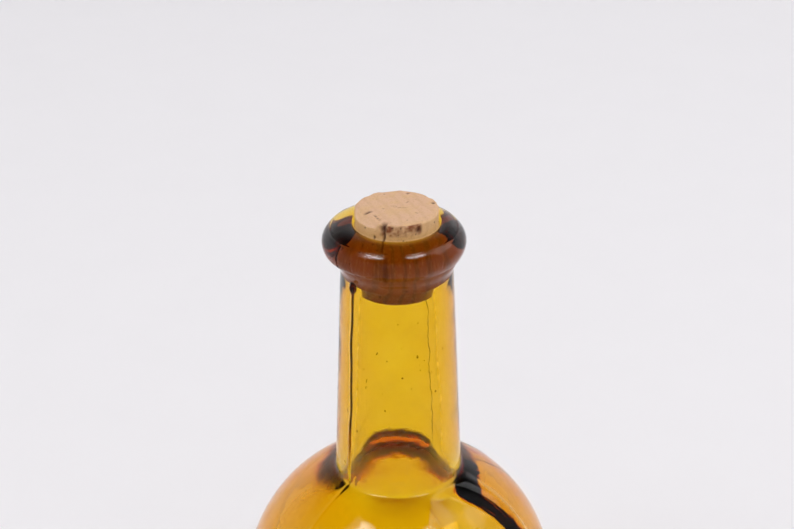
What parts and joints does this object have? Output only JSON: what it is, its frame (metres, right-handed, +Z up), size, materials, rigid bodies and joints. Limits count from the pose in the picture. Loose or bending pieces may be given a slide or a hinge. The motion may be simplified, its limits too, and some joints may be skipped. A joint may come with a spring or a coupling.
{
  "type": "glass bottle",
  "caption": "Amber moulded glass bottle with a rounded lip, slim tapering neck, round body with a raised-rim medallion and a flat base, closed by a tapered cork.",
  "frame": {"origin": "centre of the ring that the bottle stands on", "axes": "+Z up the bottle's axis to the cork, -Y out of the medallion at the front, +X to the right seen from the front"},
  "size_m": [0.0828, 0.0812, 0.1438],
  "materials": {
    "amber_glass": "clear amber mould-blown glass with a fire-polished lip and a slightly wavy surface",
    "cork": "natural cork with lenticels, pits and a crack, dry and matt"
  },
  "bodies": {
    "bottle": {"glass_bottle": "amber_glass"},
    "cork": {"cork_stopper": "cork"}
  },
  "joints": [
    {"name": "cork_pull", "type": "slide", "parent": "bottle", "child": "cork", "axis": [0, 0, 1], "range_m": [0, 0.025]}
  ]
}
